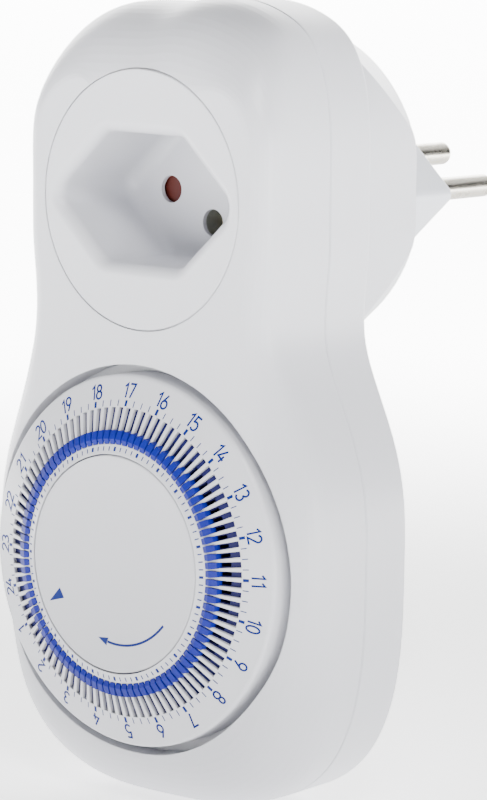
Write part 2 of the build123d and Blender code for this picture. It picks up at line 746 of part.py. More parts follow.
with BuildPart() as rear_plate:
    rod(0, dial_z, rear_plate_radius, rear_plate_y, rear_plate_back)
    for x, z in pillar_places:
        rod(x, z, pillar_screw_radius + 0.1, rear_plate_y - 1, rear_plate_back + 1, mode=Mode.SUBTRACT)
    for x, z in ((second_x, second_z), (third_x, third_z)):
        rod(x, z, arbor_radius + pin_fit, rear_plate_y - 1, rear_plate_back + 1, mode=Mode.SUBTRACT)
    rod(clutch_x, clutch_z, output_end_radius + running_gap, rear_plate_y - 1, rear_plate_back + 1,
        mode=Mode.SUBTRACT)
    rod(rotor_x, rotor_z, rotor_shaft_radius + 0.6, rear_plate_y - 1, rear_plate_back + 1, mode=Mode.SUBTRACT)
write(rear_plate.part, "rear_plate")

with BuildPart() as plate_pillars:
    for x, z in pillar_places:
        rod(x, z, pillar_radius, front_plate_back, rear_plate_y)
        rod(x, z, pillar_screw_radius, rear_plate_y - 4, rear_plate_y + 1, mode=Mode.SUBTRACT)
write(plate_pillars.part, "plate_pillars")

with BuildPart() as pillar_screws:
    for x, z in pillar_places:
        rod(x, z, pillar_screw_radius - pin_fit, rear_plate_y - 3.5, rear_plate_back)
        rod(x, z, 1.6, rear_plate_back, rear_plate_back + 1.0)
        block(x - 1.8, x + 1.8, rear_plate_back + 0.5, rear_plate_back + 2, z - 0.2, z + 0.2, mode=Mode.SUBTRACT)
write(pillar_screws.part, "pillar_screws")

with BuildPart() as movement_screws:
    for x, z in plate_screw_places:
        rod(x, z, plate_screw_radius - pin_fit, front_plate_y - 5, front_plate_back)
        rod(x, z, 1.8, front_plate_back, front_plate_back + 1.0)
        block(x - 2, x + 2, front_plate_back + 0.5, front_plate_back + 2, z - 0.2, z + 0.2, mode=Mode.SUBTRACT)
write(movement_screws.part, "movement_screws")

with BuildPart() as gear_arbors:
    for x, z in ((second_x, second_z), (third_x, third_z)):
        rod(x, z, arbor_radius, front_plate_y, rear_plate_back)
write(gear_arbors.part, "gear_arbors")

# ================================================================ gear train
clutch_front_y = -48.3
clutch_thickness = 1.3
second_front_y = -44.9
wheel_thickness = 1.1
third_front_y = -43.4
collar_y = -46.2


def mating_phase(line_angle, teeth):
    """Angle that puts a tooth space on the line back to the driving wheel."""
    return line_angle + 180 + 180 / teeth


with BuildPart() as output_pinion:
    gear(clutch_x, clutch_z, output_teeth, mating_phase(clutch_angle, output_teeth),
         gear_front_y - 0.2, gear_back_y + 0.2)
    rod(clutch_x, clutch_z, output_shaft_radius, gear_front_y, -43.3)
    rod(clutch_x, clutch_z, 2.2, collar_y, collar_y + 0.9)
    rod(clutch_x, clutch_z, output_end_radius, -43.3, rear_plate_back)
write(output_pinion.part, "output_pinion")

with BuildPart() as clutch_wheel:
    gear(clutch_x, clutch_z, clutch_teeth, second_angle, clutch_front_y, clutch_front_y + clutch_thickness)
    rod(clutch_x, clutch_z, output_shaft_radius + running_gap, clutch_front_y - 1, collar_y, mode=Mode.SUBTRACT)
    for spoke in range(4):
        x, z = polar(6.6, 45 + 90 * spoke)
        rod(clutch_x + x, clutch_z + z, 2.6, clutch_front_y - 1, collar_y, mode=Mode.SUBTRACT)
write(clutch_wheel.part, "clutch_wheel")

with BuildPart() as clutch_spring:
    rod(clutch_x, clutch_z, 3.6, clutch_front_y + clutch_thickness + 0.05, collar_y - 0.05)
    rod(clutch_x, clutch_z, output_shaft_radius, -48, collar_y, mode=Mode.SUBTRACT)
write(clutch_spring.part, "clutch_spring")

stages = {
    "second_wheel": (second_x, second_z, second_angle, third_angle, clutch_front_y, second_front_y),
    "third_wheel": (third_x, third_z, third_angle, rotor_angle, second_front_y - 0.4, third_front_y),
}
for name, (x, z, angle_in, angle_out, y0, y1) in stages.items():
    with BuildPart() as wheel:
        gear(x, z, pinion_teeth, mating_phase(angle_in, pinion_teeth), y0, y1)
        gear(x, z, wheel_teeth, angle_out, y1, y1 + wheel_thickness)
        rod(x, z, arbor_radius + running_gap, y0 - 1, y1 + 2, mode=Mode.SUBTRACT)
        for spoke in range(4):
            a, b = polar(7.2, 30 + 90 * spoke)
            rod(x + a, z + b, 2.9, y1 - 0.05, y1 + 2, mode=Mode.SUBTRACT)
    write(wheel.part, name)

# ================================================================ motor
motor_front_y = rear_plate_back
motor_wall = 0.6
bobbin_front = motor_front_y + 0.3
bobbin_back = motor_back_y - motor_wall - 0.2
bobbin_radius = 11.6
coil_inner = 7.9
rotor_radius = 6.6

with BuildPart() as motor_case:
    rod(rotor_x, rotor_z, motor_radius, motor_front_y, motor_back_y)
    rod(rotor_x, rotor_z, motor_radius - motor_wall, motor_front_y - 1, motor_back_y - motor_wall,
        mode=Mode.SUBTRACT)
    rod(rotor_x, rotor_z, 2.2, motor_back_y - motor_wall - 0.6, motor_back_y - motor_wall)
    rod(rotor_x, rotor_z, rotor_shaft_radius + running_gap, motor_front_y, motor_back_y - 0.2,
        mode=Mode.SUBTRACT)
write(motor_case.part, "motor_case")

with BuildPart() as coil_bobbin:
    rod(rotor_x, rotor_z, bobbin_radius, bobbin_front, bobbin_back)
    rod(rotor_x, rotor_z, bobbin_radius + 1, bobbin_front + 0.5, bobbin_back - 0.5, mode=Mode.SUBTRACT)
    rod(rotor_x, rotor_z, coil_inner - 0.05, bobbin_front, bobbin_back)
    rod(rotor_x, rotor_z, coil_inner - 0.65, bobbin_front - 1, bobbin_back + 1, mode=Mode.SUBTRACT)
write(coil_bobbin.part, "coil_bobbin")

with BuildPart() as motor_coil:
    rod(rotor_x, rotor_z, bobbin_radius - 0.2, bobbin_front + 0.55, bobbin_back - 0.55)
    rod(rotor_x, rotor_z, coil_inner, bobbin_front, bobbin_back, mode=Mode.SUBTRACT)
write(motor_coil.part, "motor_coil")

with BuildPart() as rotor_magnet:
    rod(rotor_x, rotor_z, rotor_radius, bobbin_front + 0.5, bobbin_back - 0.6)
    rod(rotor_x, rotor_z, rotor_shaft_radius + 0.01, bobbin_front, bobbin_back, mode=Mode.SUBTRACT)
write(rotor_magnet.part, "rotor_magnet")

with BuildPart() as rotor_shaft:
    rod(rotor_x, rotor_z, rotor_shaft_radius, front_plate_y + 0.1, motor_back_y - 0.8)
    gear(rotor_x, rotor_z, pinion_teeth, mating_phase(rotor_angle, pinion_teeth), third_front_y - 0.3,
         third_front_y + wheel_thickness + 0.3)
write(rotor_shaft.part, "rotor_shaft")

lead_y = -37.4
lead_size = 1.0
terminal_top = -57.3
with BuildPart() as motor_terminal:
    block(-20.5, -8.4, lead_y - 1.8, lead_y + 1.8, terminal_top - 6, terminal_top)
    rod(rotor_x, rotor_z, motor_radius, motor_front_y, motor_back_y + 1, mode=Mode.SUBTRACT)
write(motor_terminal.part, "motor_terminal")

# ================================================================ conductors
feed_y = pin_root_y - bar_width / 2
out_y = line_sleeve_back + bar_width / 2
out_x = -16.5
out_z = -13.5
with BuildPart() as line_bar_in:
    bar([(line_x, feed_y, 1.5), (line_x, feed_y, bar_in_z), (line_x, blade_back_y, bar_in_z)], bar_width)
write(line_bar_in.part, "line_bar_in")

with BuildPart() as line_bar_out:
    bar([(line_x + 1.5, out_y, socket_rise), (out_x, out_y, socket_rise), (out_x, out_y, out_z),
         (out_x, -52.5, out_z), (base_left, -52.5, out_z)], bar_width)
write(line_bar_out.part, "line_bar_out")

lead_line_x = -13.0
lead_neutral_x = -9.6
lead_neutral_z = -19.5
with BuildPart() as line_lead:
    bar([(lead_line_x, lead_y, terminal_top), (lead_line_x, lead_y, bar_in_z),
         (line_x - bar_width / 2, lead_y, bar_in_z)], lead_size)
write(line_lead.part, "line_lead")

with BuildPart() as neutral_lead:
    lead_back_y = sleeve_back + 1.0
    bar([(lead_neutral_x, lead_y, terminal_top), (lead_neutral_x, lead_y, lead_neutral_z - 1.8),
         (pin_half_pitch, lead_y, lead_neutral_z - 1.8), (pin_half_pitch, lead_back_y, lead_neutral_z - 1.8),
         (pin_half_pitch, lead_back_y, -2.6)], lead_size)
write(neutral_lead.part, "neutral_lead")

# ================================================================ switch
nose_radius = 0.9
nose_gap = 0.3           # between a segment pushed out and the follower
nose_reach = tail_outer + segment_travel + nose_gap + nose_radius
nose_angle = -151.0
nose_x, nose_z = polar(nose_reach, nose_angle)
nose_z += dial_z
lever_elbow = (-23.5, dial_z + 25.7)
lever_end = (-14.6, dial_z + 33.95)
lever_width = 2.6
rivet_radius = 1.0
rivet_z = -24.2
moving_blade_bottom = -26.2
fixed_blade_bottom = -25.6

with BuildPart() as switch_lever:
    with BuildSketch(facing(lever_back_y)) as lever_plan:
        with BuildLine():
            Polyline((nose_x, nose_z), lever_pivot, lever_elbow, lever_end)
        trace(line_width=lever_width)
        with Locations(lever_pivot):
            Circle(2.9)
        with Locations((nose_x, nose_z)):
            Circle(1.4)
        with Locations(lever_elbow):
            Circle(lever_width / 2)
    extrude(amount=lever_back_y - lever_front_y)
    rod(nose_x, nose_z, nose_radius, -58.4, lever_back_y)
    rod(*lever_pivot, lever_pin_radius + running_gap, lever_front_y - 1, lever_back_y + 1, mode=Mode.SUBTRACT)
write(switch_lever.part, "switch_lever")

with BuildPart() as lever_pin:
    rod(*lever_pivot, lever_pin_radius, lever_front_y - 0.8, front_plate_back)
write(lever_pin.part, "lever_pin")

with BuildPart() as switch_base:
    block(base_left, tongue[1] - 0.4, -55.0, front_plate_y, base_bottom, base_top)
write(switch_base.part, "switch_base")


def rivet(x0, x1):
    with Locations(((x0 + x1) / 2, (blade_front_y + blade_back_y) / 2, rivet_z)):
        Cylinder(rivet_radius, x1 - x0, rotation=(0, 90, 0))


half_blade = blade_thickness / 2
with BuildPart() as moving_blade:
    block(moving_blade_x - half_blade, moving_blade_x + half_blade, blade_front_y, blade_back_y,
          moving_blade_bottom, base_bottom - 0.1)
write(moving_blade.part, "moving_blade")
with BuildPart() as moving_contact:
    rivet(moving_blade_x + half_blade, moving_blade_x + half_blade + 0.9)
write(moving_contact.part, "moving_contact")
with BuildPart() as fixed_blade:
    block(fixed_blade_x - half_blade, fixed_blade_x + half_blade, blade_front_y, blade_back_y,
          fixed_blade_bottom, base_bottom)
write(fixed_blade.part, "fixed_blade")
with BuildPart() as fixed_contact:
    rivet(fixed_blade_x - half_blade - 1.0, fixed_blade_x - half_blade)
write(fixed_contact.part, "fixed_contact")
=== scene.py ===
"""Looks of a plug-in mains timer with a 24 hour segment dial, laid out as an add-on.

Run as a script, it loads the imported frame, gives every piece its finish, prints the dial and the cap,
and sets the stage.
"""

import math

import bpy
from mathutils import Matrix, Vector


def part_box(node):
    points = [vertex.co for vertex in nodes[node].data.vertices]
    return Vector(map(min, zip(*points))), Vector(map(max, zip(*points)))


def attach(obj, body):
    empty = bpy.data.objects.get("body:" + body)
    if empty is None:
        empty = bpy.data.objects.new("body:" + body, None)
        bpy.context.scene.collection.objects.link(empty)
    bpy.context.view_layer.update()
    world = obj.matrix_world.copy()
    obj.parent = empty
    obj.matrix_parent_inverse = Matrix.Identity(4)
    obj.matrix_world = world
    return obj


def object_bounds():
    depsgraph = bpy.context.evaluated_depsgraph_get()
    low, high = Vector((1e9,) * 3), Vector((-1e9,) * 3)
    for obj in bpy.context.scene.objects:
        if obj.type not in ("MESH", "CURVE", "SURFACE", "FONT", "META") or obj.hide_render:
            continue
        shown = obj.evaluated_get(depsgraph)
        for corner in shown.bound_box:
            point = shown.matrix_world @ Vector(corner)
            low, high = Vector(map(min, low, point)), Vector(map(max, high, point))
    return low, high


bl_info = {
    "name": "Timer Looks",
    "version": (1, 0, 0),
    "blender": (4, 5, 0),
    "location": "View3D > Sidebar > Timer",
    "description": "Finishes, printed dial and stage for a plug-in mains timer",
    "category": "Object",
}

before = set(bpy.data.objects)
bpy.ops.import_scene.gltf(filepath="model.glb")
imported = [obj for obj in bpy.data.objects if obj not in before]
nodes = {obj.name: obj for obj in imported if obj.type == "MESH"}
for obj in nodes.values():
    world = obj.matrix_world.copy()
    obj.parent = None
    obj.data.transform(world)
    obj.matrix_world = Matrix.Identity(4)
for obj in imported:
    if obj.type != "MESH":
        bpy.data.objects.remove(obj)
cad_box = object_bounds()
MM = 0.001

# Dial axis and the cap's front, read from the frame.
dial_low, dial_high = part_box("dial_ring")
dial_x = (dial_low.x + dial_high.x) / 2
dial_z = (dial_low.z + dial_high.z) / 2
cap_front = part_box("hub_cap")[0].y


# ---------------------------------------------------------------- shader maths
class Wire:
    """A shader socket that takes arithmetic. An expression on it adds its Math nodes."""

    def __init__(self, tree, output=None):
        self.tree = tree
        self.output = output

    def node(self, kind, settings=None, values=None, out=0):
        """Adds a node of a kind, sets its settings, then its sockets' values or links."""
        made = self.tree.nodes.new("ShaderNode" + kind)
        for name, value in (settings or {}).items():
            if name == "stops":
                ramp = made.color_ramp
                ramp.elements[0].position, ramp.elements[0].color = value[0]
                ramp.elements[1].position, ramp.elements[1].color = value[-1]
                for place, colour in value[1:-1]:
                    ramp.elements.new(place).color = colour
            else:
                setattr(made, name, value)
        for name, value in (values or {}).items():
            socket = made.inputs[name]
            if isinstance(value, Wire):
                self.tree.links.new(value.output, socket)
            else:
                socket.default_value = value
        return Wire(self.tree, made.outputs[out])

    def maths(self, operation, *terms):
        return self.node("Math", {"operation": operation}, dict(enumerate(terms)))

    def __add__(self, other):
        return self.maths("ADD", self, other)

    __radd__ = __add__

    def __sub__(self, other):
        return self.maths("SUBTRACT", self, other)

    def __rsub__(self, other):
        return self.maths("SUBTRACT", other, self)

    def __mul__(self, other):
        return self.maths("MULTIPLY", self, other)

    __rmul__ = __mul__

    def between(self, low, high):
        """0 below low and 1 above high, with a soft step between."""
        return self.node("MapRange", {"interpolation_type": "SMOOTHSTEP"},
                         {"Value": self, "From Min": low, "From Max": high})

    def blend(self, first, second):
        """Colour mix, with this wire as the factor."""
        return self.node("Mix", {"data_type": "RGBA"}, {0: self, 6: first, 7: second}, out=2)


def shade(colour, amount):
    """A colour made lighter or darker."""
    return tuple(min(1.0, c * amount) for c in colour[:3]) + (1.0,)


def new_finish(name):
    """An empty material with a Principled surface: the material, its tree as a wire, and its shader."""
    finish = bpy.data.materials.new(name)
    finish.use_nodes = True
    tree = finish.node_tree
    tree.nodes.clear()
    shader = tree.nodes.new("ShaderNodeBsdfPrincipled")
    output = tree.nodes.new("ShaderNodeOutputMaterial")
    tree.links.new(shader.outputs[0], output.inputs["Surface"])
    return finish, Wire(tree), shader


def connect(shader, **sockets):
    """Sets the shader's sockets: words with underscores name them, wires are linked and numbers are set."""
    tree = shader.id_data
    for name, value in sockets.items():
        socket = shader.inputs[name.replace("_", " ").title().replace("Ior", "IOR")]
        if isinstance(value, Wire):
            tree.links.new(value.output, socket)
        else:
            socket.default_value = value


def moulded(name, colour, roughness, grain=0.35, grain_depth=0.004, edge=0.15, mottle=0.02,
            gloss=0.5, soft=0.0, flow=(1, 1, 1)):
    """Injection-moulded plastic: cloudy resin, a fine eroded skin, faint sink marks and soft edges.

    Sizes are in mm.
    """
    finish, wire, shader = new_finish(name)
    place = wire.node("TexCoord", out="Object")
    stretched = wire.node("Mapping", {}, {"Vector": place, "Scale": flow})
    cloud = wire.node("TexNoise", {}, {"Vector": stretched, "Scale": 55.0, "Detail": 4.0, "Roughness": 0.6})
    sink = wire.node("TexNoise", {}, {"Vector": place, "Scale": 28.0, "Detail": 1.0})
    skin = wire.node("TexNoise", {}, {"Vector": place, "Scale": 1 / (grain * MM), "Detail": 3.0,
                                      "Roughness": 0.65})
    speck = wire.node("TexVoronoi", {}, {"Vector": place, "Scale": 2.2 / (grain * MM), "Randomness": 1.0})
    tint = (cloud * 0.7 + skin * 0.3).between(0.3, 0.7)
    rounded = wire.node("Bevel", {"samples": 6}, {"Radius": edge * MM})
    height = skin * 0.75 + speck * 0.25 + sink * 2.5
    relief = wire.node("Bump", {}, {"Strength": 0.55, "Distance": grain_depth * MM, "Height": height,
                                    "Normal": rounded})
    connect(shader, base_color=tint.blend(shade(colour, 1 - mottle), shade(colour, 1 + mottle)),
            roughness=roughness + (skin - 0.5) * 0.12 + (cloud - 0.5) * 0.06,
            specular_ior_level=gloss, normal=relief)
    if soft:
        connect(shader, subsurface_weight=soft, subsurface_scale=1.2 * MM)
        shader.inputs["Subsurface Radius"].default_value = (1.0, 0.9, 0.8)
    return finish


def metal(name, colour, roughness, flow=(1, 1, 1), scratch_depth=0.002, edge=0.1, stain=None,
          stain_at=(0.55, 0.75)):
    """Drawn, turned or rolled metal: fine lines along the flow, cloudy tarnish and polished edges.

    Sizes are in mm.
    """
    finish, wire, shader = new_finish(name)
    place = wire.node("TexCoord", out="Object")
    along = wire.node("Mapping", {}, {"Vector": place, "Scale": flow})
    line = wire.node("TexNoise", {}, {"Vector": along, "Scale": 2200.0, "Detail": 5.0, "Roughness": 0.7})
    cloud = wire.node("TexNoise", {}, {"Vector": place, "Scale": 260.0, "Detail": 4.0, "Roughness": 0.6})
    dull = cloud.between(*stain_at)
    base = line.between(0.35, 0.65).blend(shade(colour, 0.9), shade(colour, 1.08))
    if stain:
        base = (dull * 0.75).blend(base, stain)
    rounded = wire.node("Bevel", {"samples": 4}, {"Radius": edge * MM})
    relief = wire.node("Bump", {}, {"Strength": 0.5, "Distance": scratch_depth * MM, "Height": line,
                                    "Normal": rounded})
    connect(shader, base_color=base, metallic=1.0, roughness=roughness + line * 0.12 + dull * 0.12,
            normal=relief)
    return finish


def ink(name, colour):
    """Pad-printed ink: slightly uneven cover and a dull, faintly grainy surface."""
    finish, wire, shader = new_finish(name)
    place = wire.node("TexCoord", out="Object")
    cover = wire.node("TexNoise", {}, {"Vector": place, "Scale": 1800.0, "Detail": 3.0})
    cloud = wire.node("TexNoise", {}, {"Vector": place, "Scale": 240.0, "Detail": 2.0})
    relief = wire.node("Bump", {}, {"Strength": 0.3, "Distance": 0.003 * MM, "Height": cover})
    tint = (cover * 0.6 + cloud * 0.4).between(0.3, 0.7)
    connect(shader, base_color=tint.blend(shade(colour, 0.9), shade(colour, 1.2)),
            roughness=0.42 + cover * 0.15, specular_ior_level=0.15, normal=relief)
    return finish


def wound_wire(name, colour, pitch):
    """Enamelled winding: side-by-side turns of fine wire with a lacquer gloss, its colour darker in the
    grooves between turns (painted shade) and lighter on their crests (painted highlight). Pitch in mm.
    """
    finish, wire, shader = new_finish(name)
    place = wire.node("TexCoord", out="Object")
    turns = wire.node("TexWave", {"wave_type": "BANDS", "bands_direction": "Y", "wave_profile": "SIN"},
                      {"Vector": place, "Scale": 1 / (pitch * MM) / 2, "Distortion": 0.3, "Detail": 1.0},
                      out=1)
    cloud = wire.node("TexNoise", {}, {"Vector": place, "Scale": 400.0, "Detail": 3.0})
    relief = wire.node("Bump", {}, {"Strength": 0.9, "Distance": pitch * 0.4 * MM, "Height": turns})
    # Painted shade and painted highlight: the colour is darkest in the grooves between turns and lightest on
    # their crests.
    tint = (turns * 0.7 + cloud * 0.3).between(0.2, 0.8)
    connect(shader, base_color=tint.blend(shade(colour, 0.55), shade(colour, 1.1)),
            metallic=0.85, roughness=0.28 + cloud * 0.15, normal=relief)
    return finish


def paint(finish, *names):
    """Gives CAD nodes a finish."""
    for name in names:
        slots = nodes[name].data.materials
        slots.clear()
        slots.append(finish)


# ---------------------------------------------------------------- printed shapes
def arc(x, z, width, height, start, end):
    """Points of an elliptical arc, angles in degrees."""
    count = max(4, int(abs(end - start) / 12))
    turns = [math.radians(start + (end - start) * i / count) for i in range(count + 1)]
    return [(x + width * math.cos(t), z + height * math.sin(t)) for t in turns]


# Strokes of each numeral on a body one unit high, its middle at x = 0.
strokes = {
    "0": [arc(0, 0.5, 0.25, 0.5, 90, 450)],
    "1": [[(-0.17, 0.78), (0.07, 1.0), (0.07, 0.0)]],
    "2": [arc(0, 0.745, 0.25, 0.255, 165, -32) + [(-0.26, 0.0), (0.27, 0.0)]],
    "3": [arc(-0.03, 0.755, 0.23, 0.245, 145, -80), arc(-0.03, 0.265, 0.27, 0.265, 85, -148)],
    "4": [[(0.08, 1.0), (-0.27, 0.29), (0.29, 0.29)], [(0.12, 0.56), (0.12, 0.0)]],
    "5": [[(0.22, 1.0), (-0.19, 1.0), (-0.22, 0.57)] + arc(-0.02, 0.31, 0.27, 0.31, 122, -142)],
    "6": [[(0.13, 1.0), (-0.2, 0.46)], arc(0, 0.285, 0.26, 0.285, 0, 360)],
    "7": [[(-0.25, 1.0), (0.26, 1.0), (-0.09, 0.0)]],
    "8": [arc(0, 0.76, 0.205, 0.24, 0, 360), arc(0, 0.27, 0.26, 0.27, 0, 360)],
    "9": [[(-0.13, 0.0), (0.2, 0.54)], arc(0, 0.715, 0.26, 0.285, 0, 360)],
}


def ribbon(points, width):
    """Left and right edges of a stroke that follows the points, with mitred corners."""
    closed = (Vector(points[0]) - Vector(points[-1])).length < 1e-6
    left, right = [], []
    for i, here in enumerate(points):
        here = Vector(here)
        back = points[i - 1] if i else (points[-2] if closed else None)
        ahead = points[i + 1] if i + 1 < len(points) else (points[1] if closed else None)
        sides = []
        for a, b in ((back, here), (here, ahead)):
            if a is not None and b is not None:
                run = (Vector(b) - Vector(a)).normalized()
                sides.append(Vector((-run.y, run.x)))
        across = sum(sides, Vector((0, 0))).normalized()
        reach = width / 2 / max(0.5, across.dot(sides[0]))
        left.append(here + across * reach)
        right.append(here - across * reach)
    return left, right


class Print:
    """Flat ink shapes gathered in one mesh, laid on a surface by a placing rule."""

    def __init__(self, place):
        self.place = place
        self.points, self.faces = [], []

    def strip(self, left, right, spot=lambda x, z: (x, z)):
        first = len(self.points)
        for pair in zip(left, right):
            self.points.extend(self.place(*spot(*p)) for p in pair)
        for i in range(len(left) - 1):
            a = first + 2 * i
            self.faces.append((a, a + 2, a + 3, a + 1))

    def piece(self, name, body, finish, thickness):
        mesh = bpy.data.meshes.new(name)
        mesh.from_pydata(self.points, [], self.faces)
        mesh.validate()
        mesh.materials.append(finish)
        made = bpy.data.objects.new(name, mesh)
        bpy.context.scene.collection.objects.link(made)
        film = made.modifiers.new("film", "SOLIDIFY")
        film.thickness = thickness
        film.offset = 0
        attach(made, body)
        return made


def scale_surface(lift):
    """Placing rule on the dial's conical face: it finds the face's depth from the ring's own points."""
    ring = [v.co for v in nodes["dial_ring"].data.vertices]
    rows = {}
    for co in ring:
        radius = math.hypot(co.x - dial_x, co.z - dial_z)
        key = round(radius / (0.5 * MM))
        if key not in rows or co.y < rows[key][1]:
            rows[key] = (radius, co.y)
    inner = min(rows.values())
    outer = max((r for r in rows.values() if r[0] < 26.2 * MM), key=lambda r: r[0])
    slope = (outer[1] - inner[1]) / (outer[0] - inner[0])

    def place(x, z):
        radius = math.hypot(x, z)
        return dial_x + x, inner[1] + slope * (radius - inner[0]) - lift, dial_z + z

    return place


def cap_surface(lift):
    """Placing rule on the cap's flat front."""
    def place(x, z):
        return dial_x + x, cap_front - lift, dial_z + z

    return place


def triangle(marks, tip, first, second):
    """Three-cornered mark on a print, in mm, its tip blunted by a hair so that the face stays a quad."""
    blunt = Vector(tip) * MM * 0.9999
    marks.strip([Vector(tip) * MM, Vector(first) * MM], [blunt, Vector(second) * MM])


def turned_out(angle, radius):
    """Moves a shape drawn upright to a place on the dial, its top outwards."""
    a = math.radians(angle)
    out, side = (math.cos(a), math.sin(a)), (math.sin(a), -math.cos(a))

    def spot(x, z):
        return out[0] * (radius + z) + side[0] * x, out[1] * (radius + z) + side[1] * x

    return spot


# Ticks in mm: where they start and end on the dial, and the width of a quarter's and of an hour's tick.
outer_ticks = (26.15, 27.15, 0.16, 0.5)
inner_ticks = (18.95, 19.65, 0.2, 0.45)
quarters = 96

# Marks on the cap in mm from its middle.
pointer_tip = (-14.56, -8.04)
pointer_wings = ((-12.23, -5.48), (-11.21, -7.13))
arrow_tip = (-3.27, -12.65)
arrow_wings = ((-0.94, -12.5), (-1.38, -13.85))
arrow_notch = (-1.25, -13.12)
shaft_width = 0.42
shaft_steps = 24


# ---------------------------------------------------------------- settings
class CaseSettings(bpy.types.PropertyGroup):
    colour: bpy.props.FloatVectorProperty(
        name="Case colour", description="White of the moulded shells", subtype="COLOR", size=3,
        default=(0.56, 0.565, 0.60), min=0, max=1)
    roughness: bpy.props.FloatProperty(
        name="Roughness", description="How dull the shells are", subtype="FACTOR", default=0.36, min=0, max=1)
    plug_colour: bpy.props.FloatVectorProperty(
        name="Plug colour", description="White of the plug body", subtype="COLOR", size=3,
        default=(0.66, 0.68, 0.73), min=0, max=1)
    shutter_colour: bpy.props.FloatVectorProperty(
        name="Shutter colour", description="Red-brown behind the live holes", subtype="COLOR", size=3,
        default=(0.085, 0.010, 0.005), min=0, max=1)


class DialSettings(bpy.types.PropertyGroup):
    ink_colour: bpy.props.FloatVectorProperty(
        name="Ink", description="Blue of the printed scale", subtype="COLOR", size=3,
        default=(0.002, 0.012, 0.13), min=0, max=1)
    segment_colour: bpy.props.FloatVectorProperty(
        name="Segments", description="Blue of the switching segments", subtype="COLOR", size=3,
        default=(0.004, 0.009, 0.21), min=0, max=1)
    first_hour: bpy.props.FloatProperty(
        name="Midnight", description="Where hour 24 stands at rest, in degrees from the right",
        default=-164.2)
    numeral_height: bpy.props.FloatProperty(
        name="Numeral height", description="Height of the hour numerals", unit="LENGTH",
        default=2.25 * MM, min=0)
    numeral_foot: bpy.props.FloatProperty(
        name="Numeral foot", description="Radius on which the numerals stand", unit="LENGTH",
        default=27.55 * MM, min=0)
    stroke: bpy.props.FloatProperty(
        name="Stroke", description="Width of a numeral's line", unit="LENGTH", default=0.33 * MM, min=0)
    film: bpy.props.FloatProperty(
        name="Ink thickness", description="Thickness of the printed film", unit="LENGTH",
        default=0.03 * MM, min=0)


class StageSettings(bpy.types.PropertyGroup):
    eye: bpy.props.FloatVectorProperty(
        name="Eye", description="Where the camera stands", subtype="TRANSLATION", size=3, unit="LENGTH",
        default=(0.51665, -0.62114, 0.07569))
    turn: bpy.props.FloatProperty(
        name="Turn", description="Camera's turn from the front view", subtype="ANGLE",
        default=math.radians(41.349))
    tilt: bpy.props.FloatProperty(
        name="Tilt", description="How far the camera looks down", subtype="ANGLE",
        default=math.radians(8.001))
    roll: bpy.props.FloatProperty(
        name="Roll", description="Camera's roll", subtype="ANGLE", default=math.radians(0.866))
    lens: bpy.props.FloatProperty(
        name="Lens", description="Focal length in mm on a 36 mm sensor", default=208.88, min=1)
    near_glow: bpy.props.FloatProperty(
        name="Near glow", description="Light given off by the table under the object", default=1.6, min=0)
    far_glow: bpy.props.FloatProperty(
        name="Far glow", description="Light given off by the table far from the object", default=10.0, min=0)
    glow_start: bpy.props.FloatProperty(
        name="Glow start", description="Distance at which the table starts to brighten", unit="LENGTH",
        default=0.16, min=0)
    glow_full: bpy.props.FloatProperty(
        name="Glow full", description="Distance at which the table is at its brightest", unit="LENGTH",
        default=0.60, min=0)


# ---------------------------------------------------------------- pieces
class TIMER_OT_case(bpy.types.Operator):
    """Finish the two shells and the screws that hold them"""

    bl_idname = "timer.case"
    bl_label = "Case"

    def execute(self, context):
        s = context.scene.timer_case
        case = moulded("case plastic", s.colour, s.roughness, grain=0.3, grain_depth=0.003, edge=0.3,
                       mottle=0.012, soft=0.08)
        paint(case, "front_shell", "rear_shell")
        paint(metal("bright steel", (0.56, 0.57, 0.58, 1), 0.26, flow=(1, 0.15, 1)), "housing_screws")
        return {"FINISHED"}


class TIMER_OT_socket(bpy.types.Operator):
    """Finish the socket insert, its contacts and the shutter"""

    bl_idname = "timer.socket"
    bl_label = "Socket"

    def execute(self, context):
        s = context.scene.timer_case
        insert = moulded("socket plastic", s.colour, s.roughness - 0.04, grain=0.25, grain_depth=0.002,
                         edge=0.2, mottle=0.01, soft=0.08)
        paint(insert, "socket_insert")
        paint(moulded("shutter plastic", s.shutter_colour, 0.4, edge=0.1), "shutter")
        paint(moulded("insulator", (0.30, 0.31, 0.28), 0.5, edge=0.15, mottle=0.06), "contact_carrier")
        brass = metal("rolled brass", (0.62, 0.45, 0.19, 1), 0.3, flow=(1, 0.1, 0.1),
                      stain=(0.30, 0.20, 0.08, 1))
        paint(brass, "line_receptacle", "neutral_receptacle", "earth_receptacle", "neutral_bar", "earth_bar")
        paint(metal("spring wire", (0.5, 0.5, 0.52, 1), 0.22), "shutter_spring")
        return {"FINISHED"}


class TIMER_OT_plug(bpy.types.Operator):
    """Finish the plug body and its three pins"""

    bl_idname = "timer.plug"
    bl_label = "Plug"

    def execute(self, context):
        s = context.scene.timer_case
        body = moulded("plug plastic", s.plug_colour, s.roughness - 0.04, grain=0.25, grain_depth=0.002,
                       edge=0.25, mottle=0.012, soft=0.08)
        paint(body, "plug_body")
        nickel = metal("nickel plate", (0.60, 0.57, 0.50, 1), 0.2, flow=(1, 0.08, 1), scratch_depth=0.0015,
                       edge=0.2, stain=(0.36, 0.32, 0.24, 1), stain_at=(0.5, 0.8))
        paint(nickel, "line_pin", "neutral_pin", "earth_pin")
        return {"FINISHED"}


